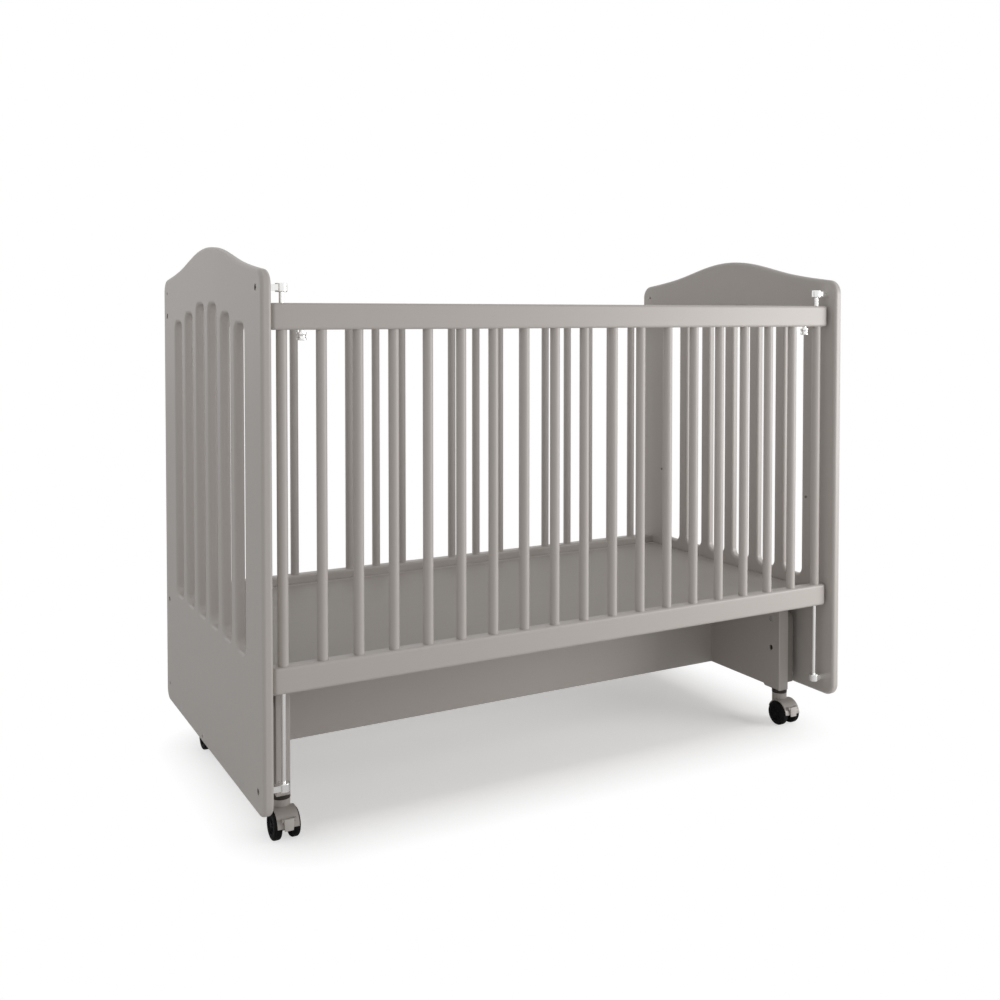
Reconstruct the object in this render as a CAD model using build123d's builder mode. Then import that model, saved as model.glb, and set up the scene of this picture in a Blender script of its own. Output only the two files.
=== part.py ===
from build123d import *
import os

# Drop-side crib on a rocking, wheeled base
# Frame: millimetres, +X along the crib's length, +Y from the drop side to the fixed side, +Z up
# The origin is on the floor under the middle of the crib

# Overall size of the crib body
overall_length = 1250.0
overall_depth = 680.0
panel_thickness = 18.0
panel_bottom = 77.0
crest_height = 1009.0
shoulder_height = 956.0
# The crest's curve, the same front and back: distances from the middle, each with the share of
# the rise from shoulder to crest that is left there
crest_curve = [(64.0, 0.906), (126.0, 0.670), (190.0, 0.396), (254.0, 0.198)]
top_corner_radius = 28.0
bottom_corner_radius = 25.0
panel_edge_round = 6.0

# Six upright slots in each end panel, in three heights from the middle outwards
slot_width = 56.0
slot_pitch = 86.0
slot_bottom = 319.0
slot_tops = [905.0, 888.0, 871.0]
slot_corner_radius = 16.0

# The two long sides: rails with round dowels between them
side_inset = 30.0
rail_depth = 26.0
rail_round = 5.0
rail_end_round = 8.0
top_rail_bottom = 861.0
top_rail_height = 43.5
bottom_rail_bottom = 271.0
bottom_rail_height = 44.0
dowel_diameter = 18.0
dowel_pitch = 64.3
dowel_tenon = 15.0
drop_rail_gap = 4.0

# Steel guide rods of the drop side, with their brackets and sliding bushes
guide_rod_diameter = 8.0
rod_from_panel = 25.0
rod_chamfer = 0.8
upper_bracket_bottom = 922.0
lower_bracket_bottom = 108.5
bracket_height = 15.0
bracket_boss_diameter = 20.0
bracket_arm_width = 14.0
bracket_arm_height = 10.0
bracket_round = 1.5
bracket_socket = 12.0
bush_diameter = 12.0
bush_length = 20.0
tube_bore = 9.0
running_gap = 0.05

# Catches under the drop side's top rail
catch_diameter = 16.0
catch_height = 13.0
catch_waist_diameter = 13.6
catch_rim_height = 3.0
catch_travel = 4.0
catch_stem_diameter = 8.0
catch_stem_length = 18.0
catch_sleeve_diameter = 14.0
catch_sleeve_length = 24.0
catch_rim_chamfer = 0.8

# Mattress base: a board between two battens, carried by a cleat at each end
mattress_top = 297.0
board_thickness = 12.0
board_end_gap = 2.0
board_side_gap = 1.5
board_edge_chamfer = 1.0
batten_width = 26.0
batten_height = 34.0
batten_side_gap = 1.0
ledge_width = 10.0
cleat_width = 22.0
cleat_height = 30.0
cleat_end_inset = 73.0
cleat_bolt_inset = 83.0
cleat_bolt_drop = 27.0
upper_board_rise = 221.0
insert_hole_depth = 12.0

# Rocking base: two end boards joined by a stretcher
base_end_inset = 51.0
base_board_thickness = 26.0
base_front_inset = 98.0
base_bottom = 75.0
base_top = 250.0
base_corner_radius = 10.0
base_edge_round = 2.0
foot_length = 46.0
foot_drop = 4.0
stretcher_thickness = 30.0
stretcher_top = 235.0
stretcher_bolt_heights = [120.0, 190.0]
stretcher_bolt_reach = 46.0

# Swing units: four hanging links between the base and the end panels
swing_inset = 124.0
upper_pivot_z = 223.0
lower_pivot_z = 94.0
block_width = 48.0
block_thickness = 16.0
block_bottom = 86.0
block_top = 242.0
block_corner_radius = 20.0
block_edge_chamfer = 1.5
block_bolt_z = 160.0
block_bolt_reach = 32.0
link_thickness = 4.0
link_width = 24.0
link_from_panel = 8.0
pivot_diameter = 8.0
pivot_collar_diameter = 14.0
pivot_head_thickness = 3.0
open_pivot_play = 0.4
lock_hole_y = 46.0
lock_hole_z = 90.0
lock_hole_diameter = 6.0

# Bolts, their recesses and the barrel nuts of the fixed side
bolt_diameter = 6.0
bolt_head_diameter = 10.0
bolt_head_height = 3.0
bolt_head_chamfer = 0.8
bolt_recess_diameter = 11.0
bolt_recess_depth = 4.0
barrel_nut_diameter = 10.0
barrel_nut_length = 20.0
barrel_nut_from_end = 34.0
rail_bolt_reach = 39.0
bracket_bolt_reach = 12.0

# Twin-wheel casters
stem_inset = 111.0
wheel_diameter = 50.0
wheel_width = 14.0
wheel_spacing = 32.0
wheel_edge_round = 4.0
hub_recess_diameter = 30.0
hub_recess_depth = 2.0
hub_cap_thickness = 1.5
axle_diameter = 6.0
axle_end_gap = 0.2
caster_trail = 14.0
socket_diameter = 32.0
socket_height = 6.0
sleeve_diameter = 11.0
sleeve_length = 30.0
stem_diameter = 8.0
stem_end_gap = 1.0
stem_seat_depth = 20.0
neck_diameter = 31.0
neck_gap = 0.5
neck_bottom_rise = 12.0
hood_radius = 28.0
hood_width = 38.0
hood_rear_deg = 20.0
hood_front_deg = 176.0
wheel_pocket_gap = 1.0
web_hub_diameter = 24.0

# Brake pedals: rise and drop from the axle's height, and the distances from the axle in front
pedal_width = 18.0
pedal_gap = 0.4
pedal_face_distance = 31.2
pedal_rise = 18.1
pedal_drop = 2.0
pedal_barrel_radius = 2.6
pedal_hinge_radius = 31.0
pedal_hinge_deg = 150.0
hinge_pin_diameter = 2.4
lug_radius = 3.6
lug_thickness = 3.0
lug_gap = 0.4

# Values that follow from the sizes above
half_length = overall_length / 2
half_depth = overall_depth / 2
panel_inner_x = half_length - panel_thickness
side_y = half_depth - side_inset
rod_x = panel_inner_x - rod_from_panel
drop_dowel_count = int(2 * rod_x // dowel_pitch) - 1
back_dowel_count = int(2 * panel_inner_x // dowel_pitch)
catch_x = (rod_x + (drop_dowel_count - 1) / 2 * dowel_pitch) / 2
top_rail_top = top_rail_bottom + top_rail_height
top_rail_z = top_rail_bottom + top_rail_height / 2
bottom_rail_top = bottom_rail_bottom + bottom_rail_height
bottom_rail_z = bottom_rail_bottom + bottom_rail_height / 2
upper_bracket_z = upper_bracket_bottom + bracket_height / 2
lower_bracket_z = lower_bracket_bottom + bracket_height / 2
base_outer_x = half_length - base_end_inset
base_inner_x = base_outer_x - base_board_thickness
base_half_depth = half_depth - base_front_inset
swing_y = half_depth - swing_inset
block_outer_x = base_outer_x + block_thickness
link_outer_x = panel_inner_x - link_from_panel
link_inner_x = link_outer_x - link_thickness
stem_x = base_outer_x - base_board_thickness / 2
stem_y = half_depth - stem_inset
foot_bottom = base_bottom - foot_drop
socket_bottom = foot_bottom - socket_height
axle_z = wheel_diameter / 2
batten_outer_y = side_y - rail_depth / 2 - batten_side_gap
batten_inner_y = batten_outer_y - batten_width
board_bottom = mattress_top - board_thickness
cleat_bolt_y = half_depth - cleat_bolt_inset
cleat_bolt_z = mattress_top - cleat_bolt_drop

ends = [("left", -1), ("right", 1)]
corners = [("front_left", -1, -1), ("front_right", 1, -1), ("back_left", -1, 1), ("back_right", 1, 1)]

os.makedirs("parts", exist_ok=True)


def save(builder, name):
    """Label a finished piece and write it to its own file."""
    builder.part.label = name
    export_step(builder.part, f"parts/{name}.step")


def facing_out(sx, x, y, z):
    """Place at distance x from the middle whose Z direction points out of end sx."""
    return Location(Plane(origin=(sx * x, y, z), x_dir=(0, 1, 0), z_dir=(sx, 0, 0)))


def facing_in(sx, x, y, z):
    """Place at distance x from the middle whose Z direction points in from end sx."""
    return Location(Plane(origin=(sx * x, y, z), x_dir=(0, 1, 0), z_dir=(-sx, 0, 0)))


def facing_up(x, y, z):
    """Place whose Z direction points up."""
    return Location((x, y, z))


def facing_down(x, y, z):
    """Place whose Z direction points down."""
    return Location(Plane(origin=(x, y, z), x_dir=(1, 0, 0), z_dir=(0, 0, -1)))


def bar(place, diameter, length):
    """Round bar of the current part. It runs back from its place, against the Z direction."""
    with Locations(place):
        Cylinder(diameter / 2, length, align=(Align.CENTER, Align.CENTER, Align.MAX))


def bore(place, diameter, depth):
    """Round hole in the current part. Its place is the mouth and the Z direction points out."""
    with Locations(place):
        Cylinder(diameter / 2, depth, align=(Align.CENTER, Align.CENTER, Align.MAX), mode=Mode.SUBTRACT)


def save_copies(shape, places, name):
    """Write copies of one shape as a group of separate solids."""
    with BuildPart() as copies:
        with Locations(*places):
            add(shape)
    save(copies, name)


def bolt(reach):
    """Bolt with a chamfered head that lies on z = 0, its shank going down."""
    with BuildPart() as screw:
        bar(facing_up(0, 0, 0), bolt_diameter, reach)
        bar(facing_up(0, 0, bolt_head_height), bolt_head_diameter, bolt_head_height)
        chamfer(screw.faces().sort_by(Axis.Z)[-1].edges(), bolt_head_chamfer)
    return screw.part


# Places of the bolts and holes in an end panel, as (y, z)
rod_bracket_spots = [(-side_y, upper_bracket_z), (-side_y, lower_bracket_z)]
back_rail_spots = [(side_y, top_rail_z), (side_y, bottom_rail_z)]
spare_bracket_spots = [(side_y, upper_bracket_z), (side_y, lower_bracket_z)]
swing_spots = [(-swing_y, lower_pivot_z), (swing_y, lower_pivot_z)]
cleat_spots = [(-cleat_bolt_y, cleat_bolt_z), (cleat_bolt_y, cleat_bolt_z)]
upper_board_spots = [(y, z + upper_board_rise) for y, z in cleat_spots]

# End panels: arched boards with six slots and the holes for all that they carry
arch_half = [(y, shoulder_height + share * (crest_height - shoulder_height)) for y, share in crest_curve]
arch_half.append((half_depth, shoulder_height))
arch = [(-y, z) for y, z in reversed(arch_half)] + [(0, crest_height)] + arch_half
for end_name, sx in ends:
    inner_face = Plane.YZ.offset(sx * panel_inner_x)
    with BuildPart() as end_panel:
        with BuildSketch(inner_face):
            with BuildLine():
                Spline(*arch)
                Polyline(arch[-1], (half_depth, panel_bottom), (-half_depth, panel_bottom), arch[0])
            make_face()
        extrude(amount=sx * panel_thickness)
        fillet(end_panel.edges().filter_by(Axis.X).group_by(Axis.Z)[-1], top_corner_radius)
        fillet(end_panel.edges().filter_by(Axis.X).group_by(Axis.Z)[0], bottom_corner_radius)
        for step, slot_top in enumerate(slot_tops):
            slot_y = (step + 0.5) * slot_pitch
            slot_z = (slot_top + slot_bottom) / 2
            with BuildSketch(inner_face):
                with Locations((-slot_y, slot_z), (slot_y, slot_z)):
                    RectangleRounded(slot_width, slot_top - slot_bottom, slot_corner_radius)
            extrude(amount=sx * panel_thickness, mode=Mode.SUBTRACT)
        fillet(end_panel.faces().filter_by(Axis.X).edges(), panel_edge_round)
        for y, z in rod_bracket_spots + back_rail_spots + spare_bracket_spots:
            bore(facing_out(sx, half_length, y, z), bolt_diameter, panel_thickness)
        for y, z in rod_bracket_spots + back_rail_spots:
            bore(facing_out(sx, half_length, y, z), bolt_recess_diameter, bolt_recess_depth)
        for y, z in swing_spots:
            bore(facing_out(sx, half_length, y, z), pivot_diameter, panel_thickness)
            bore(facing_out(sx, half_length, y, z), pivot_collar_diameter, pivot_head_thickness)
        for y, z in cleat_spots + upper_board_spots:
            bore(facing_in(sx, panel_inner_x, y, z), bolt_diameter, insert_hole_depth)
        bore(facing_out(sx, half_length, lock_hole_y, lock_hole_z), lock_hole_diameter, panel_thickness)
    save(end_panel, f"end_panel_{end_name}")


def dowel_row(count):
    """X positions of a row of dowels, even about the middle."""
    return [(index - (count - 1) / 2) * dowel_pitch for index in range(count)]


def drop_rail(middle_z, height, hole_side):
    """Round-ended rail of the drop side, bored for the guide rods, with a seat for each bush."""
    inner_facing = facing_up if hole_side > 0 else facing_down
    outer_facing = facing_down if hole_side > 0 else facing_up
    inner_z = middle_z + hole_side * height / 2
    outer_z = middle_z - hole_side * height / 2
    with BuildPart() as bored_rail:
        with BuildSketch(Plane.XY.offset(middle_z - height / 2)):
            with Locations((0, -side_y)):
                RectangleRounded(2 * (panel_inner_x - drop_rail_gap), rail_depth, rail_end_round)
        extrude(amount=height)
        fillet(bored_rail.faces().filter_by(Axis.Z).edges(), rail_round)
        for x in dowel_row(drop_dowel_count) + [-rod_x, rod_x]:
            bore(inner_facing(x, -side_y, inner_z), dowel_diameter, dowel_tenon)
        for x in (-rod_x, rod_x):
            bore(outer_facing(x, -side_y, outer_z), tube_bore, height)
            bore(outer_facing(x, -side_y, outer_z), bush_diameter, bush_length)
    return bored_rail.part


# Drop side: its top rail also takes the two catches
bored_top_rail = drop_rail(top_rail_z, top_rail_height, -1)
with BuildPart() as drop_top_rail:
    add(bored_top_rail)
    for sx in (-1, 1):
        bore(facing_down(sx * catch_x, -side_y, top_rail_bottom), catch_sleeve_diameter,
             catch_sleeve_length)
save(drop_top_rail, "drop_top_rail")

bored_bottom_rail = drop_rail(bottom_rail_z, bottom_rail_height, 1)
with BuildPart() as drop_bottom_rail:
    add(bored_bottom_rail)
save(drop_bottom_rail, "drop_bottom_rail")


def nut_place(sx, z):
    """Mouth of a barrel nut's hole, in the inner face of a back rail."""
    nut_x = sx * (panel_inner_x - barrel_nut_from_end)
    return Location(Plane(origin=(nut_x, side_y - rail_depth / 2, z), x_dir=(1, 0, 0), z_dir=(0, -1, 0)))


# Fixed side: both rails meet the end panels and are held by a bolt and a barrel nut at each end
for name, middle_z, height, hole_side in [("back_top_rail", top_rail_z, top_rail_height, -1),
                                          ("back_bottom_rail", bottom_rail_z, bottom_rail_height, 1)]:
    facing = facing_up if hole_side > 0 else facing_down
    with BuildPart() as back_rail:
        with BuildSketch(Plane.YZ.offset(-panel_inner_x)):
            with Locations((side_y, middle_z)):
                RectangleRounded(rail_depth, height, rail_round)
        extrude(amount=2 * panel_inner_x)
        for x in dowel_row(back_dowel_count):
            bore(facing(x, side_y, middle_z + hole_side * height / 2), dowel_diameter, dowel_tenon)
        for sx in (-1, 1):
            bore(facing_out(sx, panel_inner_x, side_y, middle_z), bolt_diameter, rail_bolt_reach)
            bore(nut_place(sx, middle_z), barrel_nut_diameter, barrel_nut_length)
    save(back_rail, name)

# Dowels, seated in the rails above and below. The drop side's outermost two are tubes for its rods
dowel_top = top_rail_bottom + dowel_tenon
dowel_length = dowel_top - (bottom_rail_top - dowel_tenon)

for name, count, y in [("drop_dowels", drop_dowel_count, -side_y),
                       ("back_dowels", back_dowel_count, side_y)]:
    with BuildPart() as dowels:
        for x in dowel_row(count):
            bar(facing_up(x, y, dowel_top), dowel_diameter, dowel_length)
    save(dowels, name)

with BuildPart() as drop_end_tubes:
    for x in (-rod_x, rod_x):
        bar(facing_up(x, -side_y, dowel_top), dowel_diameter, dowel_length)
        bore(facing_up(x, -side_y, dowel_top), tube_bore, dowel_length)
save(drop_end_tubes, "drop_end_tubes")

# Bushes that run on the guide rods, flush with the outer faces of both drop-side rails
with BuildPart() as rod_bushes:
    for x in (-rod_x, rod_x):
        for z in (top_rail_top, bottom_rail_bottom + bush_length):
            bar(facing_up(x, -side_y, z), bush_diameter, bush_length)
            bore(facing_up(x, -side_y, z), guide_rod_diameter + 2 * running_gap, bush_length)
save(rod_bushes, "rod_bushes")

# Guide rods, held in a blind socket of each bracket
lower_socket_mouth = lower_bracket_bottom + bracket_height
guide_rod_bottom = lower_socket_mouth - bracket_socket
guide_rod_top = upper_bracket_bottom + bracket_socket
for end_name, sx in ends:
    with BuildPart() as guide_rod:
        bar(facing_up(sx * rod_x, -side_y, guide_rod_top), guide_rod_diameter,
            guide_rod_top - guide_rod_bottom)
        chamfer(guide_rod.edges().filter_by(GeomType.CIRCLE), rod_chamfer)
    save(guide_rod, f"guide_rod_{end_name}")

# Cast rod brackets: a flat arm from the end panel to a round boss on the rod
for name, bottom_z, socket_z, facing in [
        ("rod_brackets_upper", upper_bracket_bottom, upper_bracket_bottom, facing_down),
        ("rod_brackets_lower", lower_bracket_bottom, lower_socket_mouth, facing_up)]:
    middle_z = bottom_z + bracket_height / 2
    with BuildPart() as brackets:
        for sx in (-1, 1):
            with BuildSketch(Plane.XY.offset(middle_z)):
                with Locations((sx * (panel_inner_x + rod_x) / 2, -side_y)):
                    Rectangle(rod_from_panel, bracket_arm_width)
            extrude(amount=bracket_arm_height / 2, both=True)
            with BuildSketch(Plane.XY.offset(middle_z)):
                with Locations((sx * rod_x, -side_y)):
                    Circle(bracket_boss_diameter / 2)
            extrude(amount=bracket_height / 2, both=True)
        fillet(brackets.faces().filter_by(Axis.Z).group_by(Axis.Z)[-1].edges(), bracket_round)
        fillet(brackets.faces().filter_by(Axis.Z).group_by(Axis.Z)[0].edges(), bracket_round)
        for sx in (-1, 1):
            bore(facing(sx * rod_x, -side_y, socket_z), guide_rod_diameter, bracket_socket)
            bore(facing_out(sx, panel_inner_x, -side_y, middle_z), bolt_diameter, bracket_bolt_reach)
    save(brackets, name)

recess_floor_x = half_length - bolt_recess_depth
save_copies(bolt(panel_thickness - bolt_recess_depth + bracket_bolt_reach),
            [facing_out(sx, recess_floor_x, y, z) for sx in (-1, 1) for y, z in rod_bracket_spots],
            "rod_bracket_bolts")
save_copies(bolt(panel_thickness - bolt_recess_depth + rail_bolt_reach),
            [facing_out(sx, recess_floor_x, y, z) for sx in (-1, 1) for y, z in back_rail_spots],
            "back_rail_bolts")

# Barrel nuts, each with a cross hole round its bolt
with BuildPart() as barrel_nuts:
    for sx in (-1, 1):
        for z in (top_rail_z, bottom_rail_z):
            bar(nut_place(sx, z), barrel_nut_diameter, barrel_nut_length)
            bore(facing_out(sx, panel_inner_x, side_y, z), bolt_diameter, rail_bolt_reach)
save(barrel_nuts, "barrel_nuts")

# Catches: a knob under the top rail on a stem that runs in a sleeve, pushed up to let go
catch_rest_top = top_rail_bottom - catch_travel
with BuildPart() as catch_sleeves:
    for x in (-catch_x, catch_x):
        bar(facing_down(x, -side_y, top_rail_bottom), catch_sleeve_diameter, catch_sleeve_length)
        bore(facing_down(x, -side_y, top_rail_bottom), catch_stem_diameter + 2 * running_gap,
             catch_sleeve_length)
save(catch_sleeves, "catch_sleeves")

stem_radius = catch_stem_diameter / 2
knob_bottom = catch_rest_top - catch_height
for end_name, sx in ends:
    with BuildPart() as catch_button:
        with BuildSketch(Plane.XZ.offset(side_y)):
            with BuildLine():
                Polyline((sx * catch_x, catch_rest_top + catch_stem_length),
                         (sx * catch_x + stem_radius, catch_rest_top + catch_stem_length),
                         (sx * catch_x + stem_radius, catch_rest_top),
                         (sx * catch_x + catch_diameter / 2, catch_rest_top),
                         (sx * catch_x + catch_diameter / 2, catch_rest_top - catch_rim_height))
                ThreePointArc((sx * catch_x + catch_diameter / 2, catch_rest_top - catch_rim_height),
                              (sx * catch_x + catch_waist_diameter / 2, catch_rest_top - catch_height / 2),
                              (sx * catch_x + catch_diameter / 2, knob_bottom + catch_rim_height))
                Polyline((sx * catch_x + catch_diameter / 2, knob_bottom + catch_rim_height),
                         (sx * catch_x + catch_diameter / 2, knob_bottom),
                         (sx * catch_x, knob_bottom),
                         (sx * catch_x, catch_rest_top + catch_stem_length))
            make_face()
        revolve(axis=Axis((sx * catch_x, -side_y, 0), (0, 0, 1)))
        chamfer(catch_button.faces().sort_by(Axis.Z)[0].edges(), catch_rim_chamfer)
    save(catch_button, f"catch_button_{end_name}")

# Mattress base
board_half_length = panel_inner_x - board_end_gap
board_half_width = batten_inner_y + ledge_width - board_side_gap
with BuildPart() as mattress_board:
    with BuildSketch(Plane.XY.offset(board_bottom)):
        Rectangle(2 * board_half_length, 2 * board_half_width)
    extrude(amount=board_thickness)
    chamfer(mattress_board.faces().sort_by(Axis.Z)[-1].edges(), board_edge_chamfer)
save(mattress_board, "mattress_board")

for side_name, sy in [("front", -1), ("back", 1)]:
    batten_profile = [(batten_outer_y, mattress_top), (batten_outer_y, mattress_top - batten_height),
                      (batten_inner_y, mattress_top - batten_height), (batten_inner_y, board_bottom),
                      (batten_inner_y + ledge_width, board_bottom),
                      (batten_inner_y + ledge_width, mattress_top)]
    with BuildPart() as batten:
        with BuildSketch(Plane.YZ.offset(-board_half_length)):
            with BuildLine():
                Polyline(*[(sy * y, z) for y, z in batten_profile], close=True)
            make_face()
        extrude(amount=2 * board_half_length)
        chamfer(batten.faces().sort_by(Axis.Z)[-1].edges(), board_edge_chamfer)
    save(batten, f"mattress_batten_{side_name}")

for end_name, sx in ends:
    cleat_middle_x = sx * (panel_inner_x - cleat_width / 2)
    with BuildPart() as cleat:
        with BuildSketch(Plane.XY.offset(board_bottom - cleat_height)):
            with Locations((cleat_middle_x, 0)):
                Rectangle(cleat_width, 2 * (half_depth - cleat_end_inset))
        extrude(amount=cleat_height)
        fillet(cleat.faces().sort_by(Axis.Z)[0].edges(), base_edge_round)
        for y, z in cleat_spots:
            bore(facing_in(sx, panel_inner_x - cleat_width, y, z), bolt_diameter, cleat_width)
    save(cleat, f"mattress_cleat_{end_name}")

save_copies(bolt(cleat_width + insert_hole_depth),
            [facing_in(sx, panel_inner_x - cleat_width, y, z) for sx in (-1, 1) for y, z in cleat_spots],
            "cleat_bolts")

# Base end boards, each with a low foot over every caster
for end_name, sx in ends:
    foot_inner_y = base_half_depth - foot_length
    outline = [(-base_half_depth, base_top), (-base_half_depth, foot_bottom),
               (-foot_inner_y, foot_bottom), (-foot_inner_y + foot_drop, base_bottom)]
    outline += [(-y, z) for y, z in reversed(outline)]
    with BuildPart() as base_end:
        with BuildSketch(Plane.YZ.offset(sx * base_inner_x)):
            with BuildLine():
                Polyline(*outline, close=True)
            make_face()
        extrude(amount=sx * base_board_thickness)
        fillet(base_end.edges().filter_by(Axis.X).group_by(Axis.Z)[-1], base_corner_radius)
        fillet(base_end.faces().filter_by(Axis.X).edges(), base_edge_round)
        for sy in (-1, 1):
            for z in (upper_pivot_z, block_bolt_z):
                bore(facing_in(sx, base_inner_x, sy * swing_y, z), bolt_recess_diameter, bolt_recess_depth)
            bore(facing_in(sx, base_inner_x, sy * swing_y, upper_pivot_z), pivot_diameter,
                 base_board_thickness)
            bore(facing_in(sx, base_inner_x, sy * swing_y, block_bolt_z), bolt_diameter,
                 base_board_thickness)
            bore(facing_down(sx * stem_x, sy * stem_y, foot_bottom), sleeve_diameter, sleeve_length)
        for z in stretcher_bolt_heights:
            bore(facing_out(sx, base_outer_x, 0, z), bolt_diameter, base_board_thickness)
            bore(facing_out(sx, base_outer_x, 0, z), bolt_recess_diameter, bolt_recess_depth)
        bore(facing_out(sx, base_outer_x, lock_hole_y, lock_hole_z), lock_hole_diameter,
             base_board_thickness)
    save(base_end, f"base_end_{end_name}")

stretcher_hole_depth = stretcher_bolt_reach + bolt_recess_depth - base_board_thickness
with BuildPart() as base_stretcher:
    with BuildSketch(Plane.XY.offset(base_bottom)):
        Rectangle(2 * base_inner_x, stretcher_thickness)
    extrude(amount=stretcher_top - base_bottom)
    fillet(base_stretcher.edges().filter_by(Axis.X), base_edge_round)
    for sx in (-1, 1):
        for z in stretcher_bolt_heights:
            bore(facing_out(sx, base_inner_x, 0, z), bolt_diameter, stretcher_hole_depth)
save(base_stretcher, "base_stretcher")

save_copies(bolt(stretcher_bolt_reach),
            [facing_out(sx, base_outer_x - bolt_recess_depth, 0, z)
             for sx in (-1, 1) for z in stretcher_bolt_heights],
            "stretcher_bolts")

# Swing blocks, bolted to the outer faces of the base end boards
with BuildPart() as swing_blocks:
    for _, sx, sy in corners:
        with BuildSketch(Plane.YZ.offset(sx * base_outer_x)):
            with Locations((sy * swing_y, (block_top + block_bottom) / 2)):
                Rectangle(block_width, block_top - block_bottom)
        extrude(amount=sx * block_thickness)
    fillet(swing_blocks.edges().filter_by(Axis.X).group_by(Axis.Z)[-1], block_corner_radius)
    chamfer(swing_blocks.faces().filter_by(Axis.X).group_by(Axis.X)[0].edges(), block_edge_chamfer)
    chamfer(swing_blocks.faces().filter_by(Axis.X).group_by(Axis.X)[-1].edges(), block_edge_chamfer)
    for _, sx, sy in corners:
        bore(facing_out(sx, block_outer_x, sy * swing_y, upper_pivot_z), pivot_diameter, block_thickness)
        bore(facing_in(sx, base_outer_x, sy * swing_y, block_bolt_z), bolt_diameter,
             block_bolt_reach + bolt_recess_depth - base_board_thickness)
save(swing_blocks, "swing_blocks")

save_copies(bolt(block_bolt_reach),
            [facing_in(sx, base_inner_x + bolt_recess_depth, sy * swing_y, block_bolt_z)
             for _, sx, sy in corners],
            "block_bolts")

# Upper pivots: bolts through a base end board and its block, with a collar and a head round the link
with BuildPart() as upper_pivots:
    for _, sx, sy in corners:
        y = sy * swing_y
        bolt_seat_x = base_inner_x + bolt_recess_depth
        bar(facing_in(sx, bolt_seat_x - bolt_head_height, y, upper_pivot_z), bolt_head_diameter,
            bolt_head_height)
        bar(facing_out(sx, link_outer_x + pivot_head_thickness, y, upper_pivot_z), pivot_diameter,
            link_outer_x + pivot_head_thickness - bolt_seat_x)
        bar(facing_out(sx, link_inner_x - running_gap, y, upper_pivot_z), pivot_collar_diameter,
            link_inner_x - running_gap - block_outer_x)
        bar(facing_out(sx, link_outer_x + running_gap + pivot_head_thickness, y, upper_pivot_z),
            pivot_collar_diameter, pivot_head_thickness)
save(upper_pivots, "upper_pivots")

# Lower pivots: bolts through an end panel, with a collar and a head round the link
with BuildPart() as lower_pivots:
    for _, sx, sy in corners:
        y = sy * swing_y
        bar(facing_out(sx, half_length, y, lower_pivot_z), pivot_collar_diameter, pivot_head_thickness)
        bar(facing_out(sx, half_length, y, lower_pivot_z), pivot_diameter,
            half_length - link_inner_x + pivot_head_thickness)
        bar(facing_out(sx, panel_inner_x, y, lower_pivot_z), pivot_collar_diameter,
            link_from_panel - running_gap)
        bar(facing_out(sx, link_inner_x - running_gap, y, lower_pivot_z), pivot_collar_diameter,
            pivot_head_thickness)
save(lower_pivots, "lower_pivots")

# Hanging links: flat steel with a hole at each end
for corner_name, sx, sy in corners:
    carries_crib = corner_name == "front_left"
    lower_play = running_gap if carries_crib else open_pivot_play
    with BuildPart() as link:
        with BuildSketch(Plane.YZ.offset(sx * link_inner_x)):
            with Locations((sy * swing_y, (upper_pivot_z + lower_pivot_z) / 2)):
                SlotCenterToCenter(upper_pivot_z - lower_pivot_z, link_width, rotation=90)
        extrude(amount=sx * link_thickness)
        bore(facing_out(sx, link_outer_x, sy * swing_y, upper_pivot_z),
             pivot_diameter + 2 * running_gap, link_thickness)
        bore(facing_out(sx, link_outer_x, sy * swing_y, lower_pivot_z),
             pivot_diameter + 2 * lower_play, link_thickness)
    save(link, f"swing_link_{corner_name}")

# Caster sockets: a disc under each foot with a sleeve up into it
with BuildPart() as caster_sockets:
    for _, sx, sy in corners:
        bar(facing_up(sx * stem_x, sy * stem_y, foot_bottom), socket_diameter, socket_height)
        bar(facing_up(sx * stem_x, sy * stem_y, foot_bottom + sleeve_length), sleeve_diameter, sleeve_length)
        bore(facing_down(sx * stem_x, sy * stem_y, socket_bottom), stem_diameter + 2 * running_gap,
             socket_height + sleeve_length)
save(caster_sockets, "caster_sockets")


# One caster, made about its stem. It trails towards the drop side
axle_y = -caster_trail
neck_top = socket_bottom - neck_gap
neck_bottom = axle_z + neck_bottom_rise
stem_top = foot_bottom + sleeve_length - stem_end_gap
stem_bottom = neck_top - stem_seat_depth
wheel_inner_x = wheel_spacing / 2 - wheel_width / 2
web_thickness = 2 * (wheel_inner_x - wheel_pocket_gap)
pocket_radius = wheel_diameter / 2 + wheel_pocket_gap
axle_half_length = wheel_spacing / 2 + wheel_width / 2 - hub_recess_depth - hub_cap_thickness - axle_end_gap
lug_inner_x = pedal_width / 2 + lug_gap
lug_outer_x = lug_inner_x + lug_thickness
axle_plane = Plane(origin=(0, axle_y, axle_z), x_dir=(0, 1, 0), z_dir=(1, 0, 0))
hinge = Vector(pedal_hinge_radius, 0).rotate(Axis.Z, pedal_hinge_deg)
hinge_plane = Plane(origin=(0, axle_y + hinge.X, axle_z + hinge.Y), x_dir=(0, 1, 0), z_dir=(1, 0, 0))

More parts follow.
